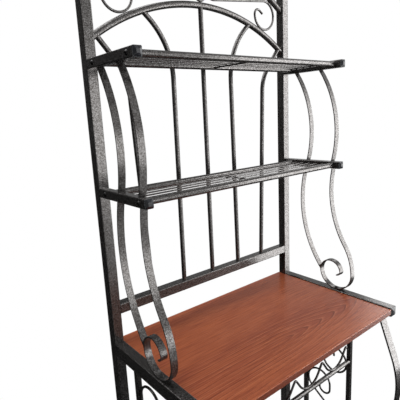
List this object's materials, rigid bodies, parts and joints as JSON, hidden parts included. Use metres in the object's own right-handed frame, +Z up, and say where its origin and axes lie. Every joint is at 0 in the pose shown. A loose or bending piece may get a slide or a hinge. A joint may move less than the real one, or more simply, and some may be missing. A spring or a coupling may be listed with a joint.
{
  "type": "bakers rack",
  "caption": "Metal bakers rack with a wood-grain worktop, wire shelves above and below, arched back panel with scrolls, cabriole front legs and a bottle rack under the worktop.",
  "frame": {"origin": "on the floor, under the middle of the rack's outline (bottom centre of its box)", "axes": "+Z up, +X to the rack's right as seen from the front, +Y from the front to the back"},
  "size_m": [0.6558, 0.4102, 1.7174],
  "materials": {
    "hammered_coat": "hammered powder coat, dark pewter, satin",
    "black_plastic": "moulded, satin black",
    "black_bolts": "black oxide",
    "bare_steel": "bare tube, hidden",
    "cherry_board": "cherry wood-grain laminate, satin"
  },
  "bodies": {
    "root": {"lower_post_left": "hammered_coat", "upper_post_left": "hammered_coat", "crest_scroll_left": "hammered_coat", "spindle_inner_left": "hammered_coat", "spindle_outer_left": "hammered_coat", "upper_arm_left": "hammered_coat", "middle_arm_left": "hammered_coat", "upper_back_bar_left": "hammered_coat", "upper_front_bar_left": "hammered_coat", "lower_back_bar_left": "hammered_coat", "scroll_bar_left": "hammered_coat", "worktop_rail_left": "hammered_coat", "leg_left": "hammered_coat", "bottom_rail_left": "hammered_coat", "side_bar_back_left": "hammered_coat", "side_bar_front_left": "hammered_coat", "side_scrolls_left": "hammered_coat", "post_cap_left": "black_plastic", "post_foot_left": "black_plastic", "rail_plug_left": "black_plastic", "leg_foot_left": "black_plastic", "lower_post_right": "hammered_coat", "upper_post_right": "hammered_coat", "crest_scroll_right": "hammered_coat", "spindle_inner_right": "hammered_coat", "spindle_outer_right": "hammered_coat", "upper_arm_right": "hammered_coat", "middle_arm_right": "hammered_coat", "upper_back_bar_right": "hammered_coat", "upper_front_bar_right": "hammered_coat", "lower_back_bar_right": "hammered_coat", "scroll_bar_right": "hammered_coat", "worktop_rail_right": "hammered_coat", "leg_right": "hammered_coat", "bottom_rail_right": "hammered_coat", "side_bar_back_right": "hammered_coat", "side_bar_front_right": "hammered_coat", "side_scrolls_right": "hammered_coat", "post_cap_right": "black_plastic", "post_foot_right": "black_plastic", "rail_plug_right": "black_plastic", "leg_foot_right": "black_plastic", "back_rail": "hammered_coat", "lower_arch": "hammered_coat", "upper_arch": "hammered_coat", "spindle_centre": "hammered_coat", "crest_ring": "hammered_coat", "upper_shelf": "hammered_coat", "middle_shelf": "hammered_coat", "bottom_shelf": "hammered_coat", "bottle_rack_back": "hammered_coat", "bottle_rack_front": "hammered_coat", "arm_plugs": "black_plastic", "post_couplers": "bare_steel", "shelf_bolts": "black_bolts", "scroll_bolts": "black_bolts", "board_screws": "black_bolts", "worktop_board": "cherry_board"}
  },
  "joints": []
}
